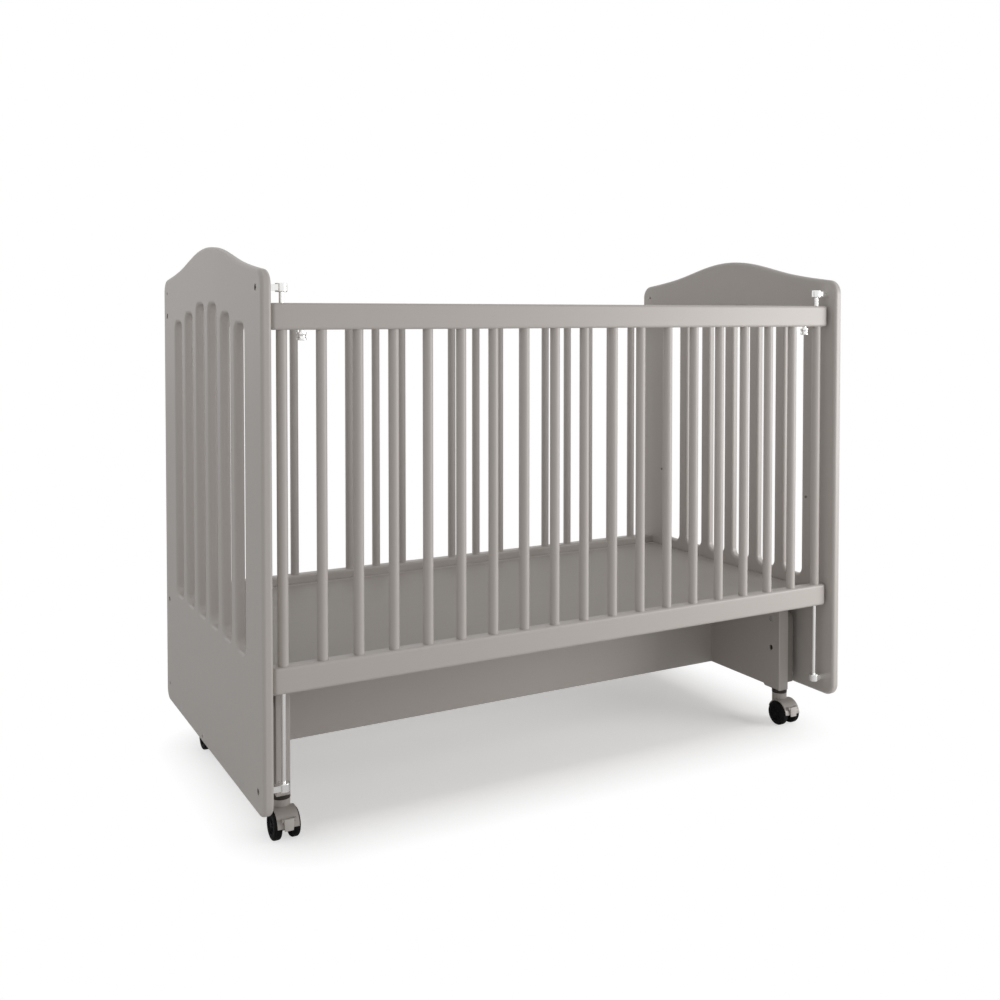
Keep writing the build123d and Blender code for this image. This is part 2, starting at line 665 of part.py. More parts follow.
# Hood: a drum segment and a round neck, with a pocket for each wheel and lugs for the pedal
with BuildPart() as hood:
    with BuildSketch(axle_plane):
        with BuildLine():
            rim = CenterArc((0, 0), hood_radius, hood_rear_deg, hood_front_deg - hood_rear_deg)
            Polyline(rim @ 1, (0, 0), rim @ 0)
        make_face()
        Circle(web_hub_diameter / 2)
    extrude(amount=hood_width / 2, both=True)
    bar(facing_up(0, 0, neck_top), neck_diameter, neck_top - neck_bottom)
    for side in (-1, 1):
        with BuildSketch(axle_plane.offset(side * web_thickness / 2)):
            Circle(pocket_radius)
        extrude(amount=side * hood_width, mode=Mode.SUBTRACT)
        with BuildSketch(hinge_plane.offset(side * lug_inner_x)):
            Circle(lug_radius)
        extrude(amount=side * lug_thickness)
    bore(Location(hinge_plane.offset(lug_outer_x)), hinge_pin_diameter + 2 * running_gap, 2 * lug_outer_x)
    bore(Location(axle_plane.offset(web_thickness / 2)), axle_diameter, web_thickness)
    bore(facing_up(0, 0, neck_top), stem_diameter, stem_seat_depth)

# Steel stem and axle
with BuildPart() as caster_pins:
    bar(facing_up(0, 0, stem_top), stem_diameter, stem_top - stem_bottom)
    bar(Location(axle_plane.offset(axle_half_length)), axle_diameter, 2 * axle_half_length)

# Wheel about the X axis, its open side towards -X
with BuildPart() as wheel:
    with BuildSketch(Plane.XZ) as wheel_section:
        with BuildLine():
            Polyline((-wheel_width / 2, axle_diameter / 2 + running_gap),
                     (-wheel_width / 2, wheel_diameter / 2),
                     (wheel_width / 2, wheel_diameter / 2),
                     (wheel_width / 2, hub_recess_diameter / 2),
                     (wheel_width / 2 - hub_recess_depth, hub_recess_diameter / 2),
                     (wheel_width / 2 - hub_recess_depth, 0),
                     (wheel_width / 2 - hub_recess_depth - hub_cap_thickness, 0),
                     (wheel_width / 2 - hub_recess_depth - hub_cap_thickness,
                      axle_diameter / 2 + running_gap),
                     close=True)
        make_face()
        fillet(wheel_section.vertices().group_by(Axis.Y)[-1], wheel_edge_round)
    revolve(axis=Axis.X)

# Brake pedal: a flat-faced block that hugs the hood, on a barrel and a hinge pin near its top
with BuildPart() as pedal:
    with BuildSketch(axle_plane):
        Polygon((-pedal_face_distance, -pedal_drop), (hinge.X, -pedal_drop), (hinge.X, pedal_rise),
                (-pedal_face_distance, pedal_rise), align=None)
        Circle(hood_radius + pedal_gap, mode=Mode.SUBTRACT)
        with Locations((hinge.X, hinge.Y)):
            Circle(pedal_barrel_radius)
    extrude(amount=pedal_width / 2, both=True)
    bar(Location(hinge_plane.offset(lug_outer_x)), hinge_pin_diameter, 2 * lug_outer_x)

# A caster at each corner of the base
for corner_name, sx, sy in corners:
    stem_place = Location((sx * stem_x, sy * stem_y, 0))
    save_copies(hood.part, [stem_place], f"caster_hood_{corner_name}")
    save_copies(caster_pins.part, [stem_place], f"caster_pins_{corner_name}")
    save_copies(pedal.part, [stem_place], f"brake_pedal_{corner_name}")
    for side_name, side in [("outer", sx), ("inner", -sx)]:
        wheel_x = sx * stem_x + side * wheel_spacing / 2
        turn = 0 if side > 0 else 180
        wheel_place = Location((wheel_x, sy * stem_y + axle_y, axle_z), (0, 0, turn))
        save_copies(wheel.part, [wheel_place], f"wheel_{side_name}_{corner_name}")
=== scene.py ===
"""Looks of a drop-side crib on a rocking, wheeled base, and the studio that it stands in."""

import logging
import math
from dataclasses import dataclass
from enum import Enum
from typing import Callable, Sequence, Union

import bmesh
import bpy
from mathutils import Euler, Matrix, Vector


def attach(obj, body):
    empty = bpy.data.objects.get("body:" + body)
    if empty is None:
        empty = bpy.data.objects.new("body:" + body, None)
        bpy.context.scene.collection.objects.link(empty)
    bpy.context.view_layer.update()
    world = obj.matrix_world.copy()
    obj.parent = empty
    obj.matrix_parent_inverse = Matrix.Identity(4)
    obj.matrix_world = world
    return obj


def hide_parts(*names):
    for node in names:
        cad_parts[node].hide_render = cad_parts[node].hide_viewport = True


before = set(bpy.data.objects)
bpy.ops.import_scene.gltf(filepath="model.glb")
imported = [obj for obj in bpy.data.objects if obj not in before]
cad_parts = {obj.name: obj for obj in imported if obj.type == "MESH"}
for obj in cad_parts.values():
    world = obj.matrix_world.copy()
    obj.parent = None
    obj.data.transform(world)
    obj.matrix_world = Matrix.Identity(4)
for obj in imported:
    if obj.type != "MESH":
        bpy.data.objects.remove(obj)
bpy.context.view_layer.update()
LOG = logging.getLogger("crib")

Rgb = tuple[float, float, float]
Point = tuple[float, float, float]
MM = 0.001
SIDES = (-1, 1)
ENDS = ("left", "right")
CORNERS = (("front_left", -1, -1), ("front_right", 1, -1),
           ("back_left", -1, 1), ("back_right", 1, 1))
WHITE = (1.0, 1.0, 1.0, 1.0)
DISPLAY_STEPS = 255
SRGB_KNEE = 10.3
SRGB_SLOPE = 12.92
SRGB_OFFSET = 0.055
SRGB_POWER = 2.4


def linear(colour: Rgb) -> Rgb:
    """Turn a colour of 0 to 255 display steps into Blender's linear colour.

    Args:
        colour: Red, green and blue as a screen shows them.

    Returns:
        The same colour in linear light.
    """
    return tuple(((c / DISPLAY_STEPS + SRGB_OFFSET) / (1 + SRGB_OFFSET)) ** SRGB_POWER
                 if c > SRGB_KNEE else c / DISPLAY_STEPS / SRGB_SLOPE for c in colour)


class Wire:
    """One output socket. Sums and products of wires add the Math nodes that work them out."""

    def __init__(self, sheet: "NodeSheet", socket: bpy.types.NodeSocket) -> None:
        """Keep the socket and the sheet that it is on."""
        self.sheet = sheet
        self.socket = socket

    def _maths(self, operation: str, first: "Plug", second: "Plug") -> "Wire":
        """Add one Math node.

        Args:
            operation: Blender's name of the operation.
            first: The upper input.
            second: The lower input.

        Returns:
            The result.
        """
        return self.sheet.node("ShaderNodeMath", {"operation": operation}, {0: first, 1: second})

    def __add__(self, other: "Plug") -> "Wire":
        """Add."""
        return self._maths("ADD", self, other)

    def __radd__(self, other: "Plug") -> "Wire":
        """Add, with the wire on the right."""
        return self._maths("ADD", other, self)

    def __sub__(self, other: "Plug") -> "Wire":
        """Take away."""
        return self._maths("SUBTRACT", self, other)

    def __rsub__(self, other: "Plug") -> "Wire":
        """Take the wire away from a number."""
        return self._maths("SUBTRACT", other, self)

    def __mul__(self, other: "Plug") -> "Wire":
        """Multiply."""
        return self._maths("MULTIPLY", self, other)

    def __rmul__(self, other: "Plug") -> "Wire":
        """Multiply, with the wire on the right."""
        return self._maths("MULTIPLY", other, self)

    def at_most_one(self) -> "Wire":
        """Hold the value between 0 and 1."""
        return self.sheet.node("ShaderNodeClamp", {}, {0: self, 1: 0.0, 2: 1.0})


Plug = Union[Wire, float, int]


class NodeSheet:
    """A node tree. One method makes all of its nodes."""

    def __init__(self, tree: bpy.types.NodeTree) -> None:
        """Start from an empty tree."""
        self.tree = tree
        tree.nodes.clear()

    def add(self, kind: str, settings: dict, sockets: dict) -> bpy.types.Node:
        """Make a node.

        Args:
            kind: Blender's type name of the node.
            settings: Properties to set first.
            sockets: A value, a wire or a list of wires for each input, by name or number.

        Returns:
            The node.
        """
        made = self.tree.nodes.new(kind)
        for name, setting in settings.items():
            setattr(made, name, setting)
        for key, plugs in sockets.items():
            for plug in plugs if isinstance(plugs, list) else (plugs,):
                if isinstance(plug, Wire):
                    self.tree.links.new(plug.socket, made.inputs[key])
                else:
                    made.inputs[key].default_value = plug
        return made

    def node(self, kind: str, settings: dict, sockets: dict, out: Union[int, str] = 0) -> Wire:
        """Make a node and give one of its outputs.

        Args:
            kind: Blender's type name of the node.
            settings: Properties to set first.
            sockets: A value, a wire or a list of wires for each input, by name or number.
            out: The output that is wanted, by name or number.

        Returns:
            That output.
        """
        return Wire(self, self.add(kind, settings, sockets).outputs[out])


class Grain(Enum):
    """How the lines in a surface run: the pattern's stretch along X, Y and Z."""

    EVEN = (1.0, 1.0, 1.0)
    ALONG = (0.06, 1.0, 1.0)
    UPRIGHT = (1.0, 1.0, 0.06)


@dataclass(frozen=True)
class Finish:
    """A surface with a drift of tone, a fine texture and a relief. Its tint is in display steps."""

    name: str
    tint: Rgb
    tone_spread: float = 0.05
    grain: Grain = Grain.EVEN
    broad_scale: float = 4.0
    broad_detail: float = 3.0
    fine_scale: float = 300.0
    fine_detail: float = 2.0
    fine_share: float = 0.35
    roughness: float = 0.45
    roughness_spread: float = 0.08
    relief: float = 0.06
    relief_depth: float = 0.0004
    metal: float = 0.0
    coat: float = 0.0
    coat_roughness: float = 0.25
    shine: float = 0.5

    def make(self) -> bpy.types.Material:
        """Build the material.

        Returns:
            The finished material.
        """
        material = bpy.data.materials.new(self.name)
        material.use_nodes = True
        sheet = NodeSheet(material.node_tree)
        place = sheet.node("ShaderNodeTexCoord", {}, {}, "Object")
        lines = sheet.node("ShaderNodeMapping", {}, {"Vector": place, "Scale": self.grain.value})
        broad = sheet.node("ShaderNodeTexNoise", {}, {
            "Vector": lines, "Scale": self.broad_scale, "Detail": self.broad_detail})
        fine = sheet.node("ShaderNodeTexNoise", {}, {
            "Vector": lines, "Scale": self.fine_scale, "Detail": self.fine_detail})
        tone = (broad * (1.0 - self.fine_share) + fine * self.fine_share).at_most_one()
        base = linear(self.tint)
        deep = tuple(c * (1.0 - self.tone_spread) for c in base) + (1.0,)
        pale = tuple(min(1.0, c * (1.0 + self.tone_spread)) for c in base) + (1.0,)
        colour = sheet.node("ShaderNodeMix", {"data_type": "RGBA"}, {0: tone, 6: deep, 7: pale}, 2)
        rough = (self.roughness + (broad - 0.5) * self.roughness_spread).at_most_one()
        bump = sheet.node("ShaderNodeBump", {},
                          {"Strength": self.relief, "Distance": self.relief_depth, "Height": fine})
        shader = sheet.node("ShaderNodeBsdfPrincipled", {}, {
            "Base Color": colour, "Roughness": rough, "Metallic": self.metal,
            "Specular IOR Level": self.shine, "Coat Weight": self.coat,
            "Coat Roughness": self.coat_roughness, "Normal": bump})
        sheet.add("ShaderNodeOutputMaterial", {}, {"Surface": shader})
        return material


class Finishes:
    """All the finishes of the crib, made once."""

    def __init__(self) -> None:
        """Make the materials."""
        paint: Rgb = (186, 180, 175)
        self.rail_paint = Finish(
            "rail_paint", paint, tone_spread=0.035, grain=Grain.ALONG, broad_scale=9.0,
            fine_scale=260.0, relief=0.05, coat=0.08).make()
        self.panel_paint = Finish(
            "panel_paint", paint, tone_spread=0.03, grain=Grain.UPRIGHT, broad_scale=7.0,
            fine_scale=240.0, relief=0.05, coat=0.08).make()
        # Painted shade: the board has the crib's paint, tinted darker to stand for the shade inside
        # the crib; its broad streaks are partly the board's grain and partly painted shadows of the
        # dowels and slats.
        self.shaded_board_paint = Finish(
            "shaded_board_paint", (166, 160, 154), tone_spread=0.07, grain=Grain.ALONG, broad_scale=34.0,
            fine_scale=420.0, roughness=0.55, relief=0.08).make()
        # Painted shade: the base and the mattress cleats have the crib's paint, and this copy is a
        # little darker for the shade under and inside the crib.
        self.shaded_base_paint = Finish(
            "shaded_base_paint", (180, 174, 169), tone_spread=0.035, grain=Grain.ALONG, broad_scale=9.0,
            fine_scale=260.0, relief=0.05, coat=0.05).make()
        self.block_paint = Finish(
            "block_paint", (132, 126, 121), tone_spread=0.03, grain=Grain.UPRIGHT, broad_scale=9.0,
            fine_scale=260.0, relief=0.05).make()
        self.bright_steel = Finish(
            "bright_steel", (250, 250, 249), tone_spread=0.03, grain=Grain.UPRIGHT,
            broad_scale=60.0, fine_scale=900.0, roughness=0.18, relief=0.03, metal=1.0).make()
        self.cast_steel = Finish(
            "cast_steel", (247, 247, 246), tone_spread=0.04, broad_scale=40.0, fine_scale=700.0,
            roughness=0.26, relief=0.08, metal=1.0).make()
        self.zinc_steel = Finish(
            "zinc_steel", (188, 190, 190), tone_spread=0.06, broad_scale=50.0, fine_scale=500.0,
            roughness=0.38, metal=1.0).make()
        self.dark_steel = Finish(
            "dark_steel", (92, 90, 87), tone_spread=0.08, broad_scale=50.0, fine_scale=500.0,
            roughness=0.42, metal=1.0).make()
        self.bush_plastic = Finish(
            "bush_plastic", (205, 200, 194), tone_spread=0.02, broad_scale=30.0, fine_scale=800.0,
            roughness=0.4).make()
        self.hood_plastic = Finish(
            "hood_plastic", (168, 162, 156), tone_spread=0.04, broad_scale=20.0, fine_scale=900.0,
            roughness=0.4, relief=0.1).make()
        self.pedal_plastic = Finish(
            "pedal_plastic", (192, 187, 182), tone_spread=0.03, broad_scale=20.0, fine_scale=900.0,
            roughness=0.38, relief=0.1).make()
        # Painted shade: the caster sockets are painted near-black to stand for the shadow in the
        # gap between socket and hood.
        self.socket_shade_plastic = Finish(
            "socket_shade_plastic", (52, 48, 45), tone_spread=0.06, broad_scale=30.0, fine_scale=900.0,
            roughness=0.5, relief=0.1, shine=0.25).make()
        self.wheel_plastic = Finish(
            "wheel_plastic", (14, 14, 15), tone_spread=0.12, broad_scale=40.0, fine_scale=900.0,
            roughness=0.55, relief=0.12, shine=0.12).make()

    def dress(self, node: str, material: bpy.types.Material) -> None:
        """Give a CAD node its finish.

        Args:
            node: The node's name.
            material: The finish.
        """
        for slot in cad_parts[node].material_slots:
            slot.link = "OBJECT"
            slot.material = material
        LOG.info("dressed %s in %s", node, material.name)


def piece_from(name: str, mesh: bpy.types.Mesh) -> bpy.types.Object:
    """Put a mesh in the scene as an object at the origin.

    Args:
        name: The object's name.
        mesh: Its mesh.

    Returns:
        The object.
    """
    piece = bpy.data.objects.new(name, mesh)
    bpy.context.scene.collection.objects.link(piece)
    return piece


def smooth(mesh: bpy.types.Mesh, crease_deg: float = 32.0) -> None:
    """Shade a mesh smooth but for its creases."""
    mesh.polygons.foreach_set("use_smooth", [True] * len(mesh.polygons))
    mesh.set_sharp_from_angle(angle=math.radians(crease_deg))


Ring = tuple[float, Union[float, Callable[[float], float]]]


def turned(name: str, rings: Sequence[Ring], segments: int) -> bpy.types.Mesh:
    """Turn a closed shell about the Z axis.

    Args:
        name: The mesh's name.
        rings: Height and radius of each ring in order. A radius may be a function of the angle,
            and a radius of 0 closes the shell with a pole.
        segments: Number of steps round the axis.

    Returns:
        The mesh, its faces outwards.
    """
    shell = bmesh.new()
    rows = []
    for height, radius in rings:
        if radius == 0:
            rows.append([shell.verts.new((0, 0, height))])
            continue
        row = []
        for step in range(segments):
            angle = 2 * math.pi * step / segments
            reach = radius(angle) if callable(radius) else radius
            row.append(shell.verts.new((reach * math.cos(angle), reach * math.sin(angle), height)))
        rows.append(row)
    for lower, upper in zip(rows, rows[1:]):
        for step in range(segments):
            following = (step + 1) % segments
            if len(lower) == 1:
                shell.faces.new((lower[0], upper[step], upper[following]))
            elif len(upper) == 1:
                shell.faces.new((lower[step], upper[0], lower[following]))
            else:
                shell.faces.new((lower[step], lower[following], upper[following], upper[step]))
    bmesh.ops.recalc_face_normals(shell, faces=shell.faces[:])
    mesh = bpy.data.meshes.new(name)
    shell.to_mesh(mesh)
    shell.free()
    smooth(mesh)
    return mesh


class Assembly(NodeSheet):
    """A Geometry Nodes tree with named inputs, run on a mesh and taken off again."""

    def __init__(self, name: str, inputs: Sequence[tuple[str, str]]) -> None:
        """Make the tree and its inputs.

        Args:
            name: The tree's name.
            inputs: Name and socket type of each input.
        """
        super().__init__(bpy.data.node_groups.new(name, "GeometryNodeTree"))
        face = self.tree.interface
        face.new_socket("Geometry", in_out="INPUT", socket_type="NodeSocketGeometry")
        for label, kind in inputs:
            face.new_socket(label, in_out="INPUT", socket_type=kind)
        face.new_socket("Geometry", in_out="OUTPUT", socket_type="NodeSocketGeometry")
        self.entry = self.add("NodeGroupInput", {}, {})

    def given(self, label: str) -> Wire:
        """Return the wire of a named input."""
        return Wire(self, self.entry.outputs[label])

    def close(self, shapes: Wire, finish: Wire) -> None:
        """End the tree in real meshes with a material.

        Args:
            shapes: The geometry so far.
            finish: The material input.
        """
        real = self.node("GeometryNodeRealizeInstances", {}, {0: shapes})
        dressed = self.node("GeometryNodeSetMaterial", {}, {"Geometry": real, "Material": finish})
        self.add("NodeGroupOutput", {}, {0: dressed})

    def run(self, start: bpy.types.Mesh, name: str, values: dict) -> bpy.types.Mesh:
        """Run the tree on a mesh.

        Args:
            start: The mesh that goes in.
            name: Name of the result.
            values: A value for each named input.

        Returns:
            The plain mesh that comes out.
        """
        bench = piece_from(f"{name}_bench", start)
        modifier = bench.modifiers.new("assembly", "NODES")
        modifier.node_group = self.tree
        for item in self.tree.interface.items_tree:
            if item.in_out == "INPUT" and item.name in values:
                modifier[item.identifier] = values[item.name]
        bpy.context.view_layer.update()
        ready = bench.evaluated_get(bpy.context.evaluated_depsgraph_get())
        result = bpy.data.meshes.new_from_object(ready)
        result.name = name
        bpy.data.objects.remove(bench)
        return result


def hexagon(flat: float) -> Callable[[float], float]:
    """Give the radius of a hexagon by angle.

    Args:
        flat: Distance from the middle to a flat.

    Returns:
        A function from angle to radius.
    """
    side = math.pi / 3
    return lambda angle: flat / math.cos(angle % side - side / 2)


@dataclass
class ScrewRow:
    """The button-head screws of one node. Places are in metres and sizes in millimetres."""

    node: str
    body: str
    reach: float
    places: Sequence[tuple[Point, int]]
    head_radius: float = 5.0
    head_height: float = 3.0
    rim_height: float = 1.0
    rim_chamfer: float = 0.15
    crown_radius: float = 3.0
    crown_steps: int = 4
    shank_radius: float = 3.0
    tip_chamfer: float = 0.8
    socket_flat: float = 2.0
    socket_depth: float = 1.8
    socket_chamfer: float = 0.2
    drill_point: float = 0.4
    thread_start: float = 1.2
    thread_share: float = 1 / 3
    thread_longest: float = 10.0
    thread_pitch: float = 1.5
    thread_depth: float = 0.3
    segments: int = 24

    def screw(self) -> bpy.types.Mesh:
        """Turn one screw.

        Returns:
            The screw in metres, its head's seat at z = 0 and the shank below.
        """
        tip, shank, pitch = -self.reach, self.shank_radius, self.thread_pitch
        rings: list[Ring] = [(tip, 0), (tip, shank - self.tip_chamfer),
                             (tip + self.tip_chamfer, shank)]
        thread = min(self.thread_longest, self.reach * self.thread_share)
        for turn in range(int(thread / pitch)):
            low = tip + self.thread_start + turn * pitch
            rings += [(low, shank), (low + pitch / 3, shank - self.thread_depth),
                      (low + 2 * pitch / 3, shank)]
        head, crown = self.head_radius, self.crown_radius
        rim, top = self.rim_height, self.head_height
        rings += [(0, shank), (0, head - self.rim_chamfer), (self.rim_chamfer, head), (rim, head)]
        for step in range(1, self.crown_steps + 1):
            angle = math.pi / 2 * step / self.crown_steps
            rings.append((rim + (top - rim) * math.sin(angle),
                          crown + (head - crown) * math.cos(angle)))
        flat = hexagon(self.socket_flat)
        floor = top - self.socket_depth
        rings += [(top, lambda angle: flat(angle) + self.socket_chamfer),
                  (top - self.socket_chamfer, flat), (floor, flat), (floor - self.drill_point, 0)]
        mesh = turned(f"{self.node}_screw", rings, self.segments)
        mesh.transform(Matrix.Scale(MM, 4))
        return mesh

    def build(self, tree: Assembly, material: bpy.types.Material) -> None:
        """Set the screws in their places, as the piece that stands for the node.

        Args:
            tree: The assembly that repeats a screw on points.
            material: Their finish.
        """
        points = bpy.data.meshes.new(f"{self.node}_places")
        points.from_pydata([place for place, _ in self.places], [], [])
        turns = points.attributes.new("turn", "FLOAT_VECTOR", "POINT")
        for index, (_, facing) in enumerate(self.places):
            turns.data[index].vector = (0, facing * math.pi / 2, 0)
        pattern = piece_from(f"{self.node}_pattern", self.screw())
        mesh = tree.run(points, self.node, {"Screw": pattern, "Finish": material})
        bpy.data.objects.remove(pattern)
        piece = piece_from(f"{self.node}_set", mesh)
        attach(piece, self.body)
        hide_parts(self.node)
        LOG.info("set %d screws for %s", len(self.places), self.node)


class Facing(Enum):
    """Which way the heads of a row of screws face."""

    OUTWARDS = 1
    INWARDS = -1


@dataclass
class Fasteners:
    """Every row of screws on the crib. Reaches are in millimetres, the rest in metres."""

    bracket_reach: float = 26.0
    rail_reach: float = 53.0
    cleat_reach: float = 34.0
    stretcher_reach: float = 46.0
    block_reach: float = 32.0
    side_y: float = 0.310
    panel_seat_x: float = 0.621
    bracket_heights: tuple[float, float] = (0.9295, 0.116)
    rail_heights: tuple[float, float] = (0.88275, 0.293)
    cleat_seat_x: float = 0.585
    cleat_y: float = 0.257
    cleat_z: float = 0.270
    stretcher_seat_x: float = 0.570
    stretcher_heights: tuple[float, float] = (0.120, 0.190)
    block_seat_x: float = 0.552
    block_y: float = 0.216
    block_z: float = 0.160

    def row(self, node: str, body: str, reach: float, seat_x: float,
            spots: Sequence[tuple[float, float]], facing: Facing) -> ScrewRow:
        """Put the same screws at both ends of the crib.

        Args:
            node: The node that they stand for.
            body: The body that they ride.
            reach: Length of the shank under the head, in millimetres.
            seat_x: Distance of the heads' seats from the middle.
            spots: Y and Z of each screw of one end.
            facing: Which way the heads face.

        Returns:
            The row.
        """
        places = [((side * seat_x, y, z), side * facing.value) for side in SIDES for y, z in spots]
        return ScrewRow(node, body, reach, places)

    def rows(self) -> list[ScrewRow]:
        """List the rows.

        Returns:
            The five rows of screws.
        """
        brackets = [(-self.side_y, z) for z in self.bracket_heights]
        rails = [(self.side_y, z) for z in self.rail_heights]
        cleats = [(side * self.cleat_y, self.cleat_z) for side in SIDES]
        stretcher = [(0.0, z) for z in self.stretcher_heights]
        blocks = [(side * self.block_y, self.block_z) for side in SIDES]
        outwards, inwards = Facing.OUTWARDS, Facing.INWARDS
        return [
            self.row("rod_bracket_bolts", "crib", self.bracket_reach, self.panel_seat_x,
                     brackets, outwards),
            self.row("back_rail_bolts", "crib", self.rail_reach, self.panel_seat_x,
                     rails, outwards),
            self.row("cleat_bolts", "crib", self.cleat_reach, self.cleat_seat_x,
                     cleats, inwards),
            self.row("stretcher_bolts", "base", self.stretcher_reach, self.stretcher_seat_x,
                     stretcher, outwards),
            self.row("block_bolts", "base", self.block_reach, self.block_seat_x,
                     blocks, inwards),
        ]

    def build(self, finishes: Finishes) -> None:
        """Make all the screws.

        Args:
            finishes: The crib's finishes.
        """
        tree = Assembly("screws_on_places",
                        [("Screw", "NodeSocketObject"), ("Finish", "NodeSocketMaterial")])
        turn = tree.node("GeometryNodeInputNamedAttribute", {"data_type": "FLOAT_VECTOR"},
                         {"Name": "turn"})
        screw = tree.node("GeometryNodeObjectInfo", {}, {"Object": tree.given("Screw")}, "Geometry")
        copies = tree.node("GeometryNodeInstanceOnPoints", {},
                           {"Points": tree.given("Geometry"), "Instance": screw, "Rotation": turn})
        tree.close(copies, tree.given("Finish"))
        for row in self.rows():
            row.build(tree, finishes.dark_steel)


@dataclass(frozen=True)
class CasterLayout:
    """Where the axles of the four casters are at rest, in millimetres."""

    stem_x: float = 561.0
    stem_y: float = 229.0
    trail: float = 14.0
    axle_z: float = 25.0

    def axle(self, sx: int, sy: int, aside: float = 0.0) -> Vector:
        """Give a point on one caster's axle.

        Args:
            sx: -1 for the left end and 1 for the right end.
            sy: -1 for the front and 1 for the back.
            aside: How far to the right of the stem the point is.

        Returns:
            The point in metres.
        """
        return Vector((sx * self.stem_x + aside, sy * self.stem_y - self.trail, self.axle_z)) * MM


@dataclass
class Wheels:
    """The eight wheels: a tyre with a rounded shoulder and a ribbed hub, in millimetres."""

    layout: CasterLayout
    radius: float = 25.0
    half_width: float = 7.0
    shoulder: float = 4.0
    shoulder_steps: int = 6
    groove_land: float = 0.4
    groove_width: float = 0.8
    groove_depth: float = 0.5
    hub_radius: float = 15.0
    hub_depth: float = 2.0
    hub_draft: float = 0.4
    lip: float = 0.5
    cap_thickness: float = 1.5
    bore_radius: float = 3.05
    boss_radius: float = 4.6
    boss_height: float = 1.2
    boss_chamfer: float = 0.3
    rib_count: int = 8
    rib_height: float = 1.2
    rib_outer_height: float = 0.9
    rib_thickness: float = 1.3
    rib_flare: float = 0.3
    rib_draft: float = 0.25
    rib_inset: float = 0.2
    rib_sink: float = 0.1
    rib_round: float = 0.22
    rib_round_steps: int = 2
    rib_circle: float = 0.001
    segments: int = 64
    half_spacing: float = 16.0

    def tyre(self) -> bpy.types.Mesh:
        """Turn the wheel without its ribs.

        Returns:
            The wheel about Z, its hub cap towards +Z.
        """
        face = self.half_width
        floor = face - self.hub_depth
        boss = floor + self.boss_height
        centre = self.radius - self.shoulder
        groove = centre - self.groove_land
        rings: list[Ring] = [
            (boss, 0), (boss, self.boss_radius - self.lip),
            (boss - self.boss_chamfer, self.boss_radius),
            (floor, self.boss_radius + self.hub_draft), (floor, self.hub_radius - self.hub_draft),
            (face - self.lip, self.hub_radius), (face, self.hub_radius + self.lip),
            (face, groove - self.groove_width),
            (face - self.groove_depth, groove - self.groove_width / 2), (face, groove)]
        arc = [math.pi / 2 * step / self.shoulder_steps for step in range(self.shoulder_steps + 1)]
        for side, angles in ((1, arc[::-1]), (-1, arc)):
            rings += [(side * (face - self.shoulder + self.shoulder * math.sin(angle)),
                       centre + self.shoulder * math.cos(angle)) for angle in angles]
        cap = floor - self.cap_thickness
        rings += [(-face, self.bore_radius + self.lip), (-face + self.lip, self.bore_radius),
                  (cap, self.bore_radius), (cap, 0)]
        return turned("tyre", rings, self.segments)

    def rib(self) -> bpy.types.Mesh:
        """Shape one rib.

        Returns:
            The rib, tapered and rounded, along X on the hub's floor.
        """
        floor = self.half_width - self.hub_depth - self.rib_sink
        half = self.rib_thickness / 2
        block = bmesh.new()
        ends = []
        for x, top_half, top in ((self.boss_radius - self.rib_inset, half, self.rib_height),
                                 (self.hub_radius - self.rib_inset, half + self.rib_flare,
                                  self.rib_outer_height)):
            foot_half = top_half + self.rib_draft
            ends.append([block.verts.new((x, y, floor + rise)) for y, rise in (
                (-foot_half, 0), (foot_half, 0), (top_half, top), (-top_half, top))])
        near, far = ends
        block.faces.new(near)
        block.faces.new(far[::-1])
        for step, corner in enumerate(near):
            following = (step + 1) % len(near)
            block.faces.new((corner, far[step], far[following], near[following]))
        bmesh.ops.recalc_face_normals(block, faces=block.faces[:])
        bmesh.ops.bevel(block, geom=block.edges[:], offset=self.rib_round,
                        segments=self.rib_round_steps, profile=0.5, affect="EDGES")
        mesh = bpy.data.meshes.new("rib")
        block.to_mesh(mesh)
        block.free()
        smooth(mesh)
        return mesh

    def whole(self, material: bpy.types.Material) -> bpy.types.Mesh:
        """Join the tyre and its ribs.

        Args:
            material: The wheel's finish.

        Returns:
            One wheel about the X axis in metres, its cap towards +X.
        """
        tree = Assembly("ribs_round_hub", [("Rib", "NodeSocketObject"), ("Count", "NodeSocketInt"),
                                           ("Finish", "NodeSocketMaterial")])
        spots = tree.node("GeometryNodeMeshCircle", {},
                          {"Vertices": tree.given("Count"), "Radius": self.rib_circle})
        index = tree.node("GeometryNodeInputIndex", {}, {})
        turn = tree.node("ShaderNodeCombineXYZ", {}, {"Z": index * (2 * math.pi / self.rib_count)})
        rib = tree.node("GeometryNodeObjectInfo", {}, {"Object": tree.given("Rib")}, "Geometry")
        ribs = tree.node("GeometryNodeInstanceOnPoints", {},
                         {"Points": spots, "Instance": rib, "Rotation": turn})
        joined = tree.node("GeometryNodeJoinGeometry", {}, {0: [tree.given("Geometry"), ribs]})
        tree.close(joined, tree.given("Finish"))
        pattern = piece_from("rib_pattern", self.rib())
        mesh = tree.run(self.tyre(), "wheel",
                        {"Rib": pattern, "Count": self.rib_count, "Finish": material})
        bpy.data.objects.remove(pattern)
        mesh.transform(Matrix.Scale(MM, 4) @ Matrix.Rotation(math.pi / 2, 4, "Y"))
        return mesh

    def build(self, finishes: Finishes) -> None:
        """Put a wheel on each side of each caster.

        Args:
            finishes: The crib's finishes.
        """
        wheel = self.whole(finishes.wheel_plastic)
        for corner, sx, sy in CORNERS:
            for label, side in (("outer", sx), ("inner", -sx)):
                name = f"wheel_{label}_{corner}"
                centre = self.layout.axle(sx, sy, side * self.half_spacing)
                mesh = wheel.copy()
                turn = Matrix.Rotation(0 if side > 0 else math.pi, 4, "Z")
                mesh.transform(Matrix.Translation(centre) @ turn)
                piece = piece_from(f"{name}_tyre", mesh)
                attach(piece, name)
                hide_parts(name)
        LOG.info("made eight wheels with %d ribs each", self.rib_count)


